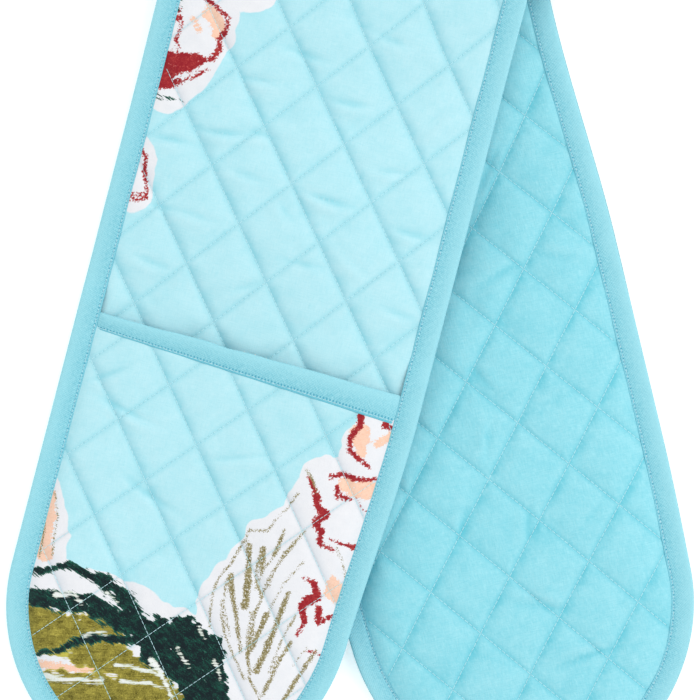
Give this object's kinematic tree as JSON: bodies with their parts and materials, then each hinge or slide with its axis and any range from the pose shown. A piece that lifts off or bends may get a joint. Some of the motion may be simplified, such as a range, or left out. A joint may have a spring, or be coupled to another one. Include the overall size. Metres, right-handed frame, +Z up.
{
  "type": "double oven glove",
  "caption": "Long quilted strip with a bound hand pocket at each rounded end, folded in half, for lifting hot dishes with both hands.",
  "frame": {"origin": "centre of the bounding box in plan, on the surface that the folded glove lies on", "axes": "+Y towards the fold, -Y towards the rounded ends, +X to the right seen from above with the fold at the top, +Z up"},
  "size_m": [0.3494, 0.4282, 0.0348],
  "materials": {
    "printed_cotton": "woven cotton, printed with loosely brushed flowers and leaves on pale aqua, quilted in diamonds",
    "cotton_lining": "plain turquoise woven cotton, quilted in diamonds",
    "bias_binding": "plain turquoise twill tape cut on the bias",
    "wadding": "needled white polyester and cotton wadding",
    "thread": "pale aqua spun polyester sewing thread"
  },
  "bodies": {
    "back_half": {"back_outer_fabric": "printed_cotton", "back_wadding": "wadding", "back_lining": "cotton_lining", "back_edge_binding": "bias_binding"},
    "fold_band": {"fold_outer_fabric": "printed_cotton", "fold_wadding": "wadding", "fold_lining": "cotton_lining", "fold_binding_left": "bias_binding", "fold_binding_right": "bias_binding"},
    "front_half": {"front_outer_fabric": "printed_cotton", "front_wadding": "wadding", "front_lining": "cotton_lining", "front_edge_binding": "bias_binding"},
    "front_pocket": {"front_pocket_outer_fabric": "printed_cotton", "front_pocket_wadding": "wadding", "front_pocket_lining": "cotton_lining", "front_pocket_mouth_binding": "bias_binding"},
    "back_pocket": {"back_pocket_outer_fabric": "printed_cotton", "back_pocket_wadding": "wadding", "back_pocket_lining": "cotton_lining", "back_pocket_mouth_binding": "bias_binding"},
    "hanging_loop": {"hanging_loop": "bias_binding"}
  },
  "joints": [
    {"name": "fold_lower", "type": "hinge", "parent": "back_half", "child": "fold_band", "pos_m": [0, 0.2092, 0.00492], "axis": [-1, 0, 0], "range_deg": [0, 90], "deforming": ["fold_outer_fabric", "fold_wadding", "fold_lining", "fold_binding_left", "fold_binding_right"]},
    {"name": "fold_upper", "type": "hinge", "parent": "fold_band", "child": "front_half", "pos_m": [0, 0.2092, 0.01748], "axis": [-1, 0, 0], "range_deg": [0, 90]},
    {"name": "front_pocket_mouth", "type": "hinge", "parent": "front_half", "child": "front_pocket", "pos_m": [-0.10342, -0.19932, 0.0064], "axis": [0.9703, -0.2419, 0], "range_deg": [0, 9]},
    {"name": "back_pocket_mouth", "type": "hinge", "parent": "back_half", "child": "back_pocket", "pos_m": [0.10342, -0.19932, 0.004], "axis": [-0.9703, -0.2419, 0], "range_deg": [0, 9]},
    {"name": "loop_swing", "type": "hinge", "parent": "front_half", "child": "hanging_loop", "pos_m": [0.09092, 0.19371, 0.0177], "axis": [0, -1, 0], "range_deg": [0, 60]}
  ],
  "couplings": [
    {"joint": "fold_upper", "follows": "fold_lower", "ratio": 1}
  ]
}
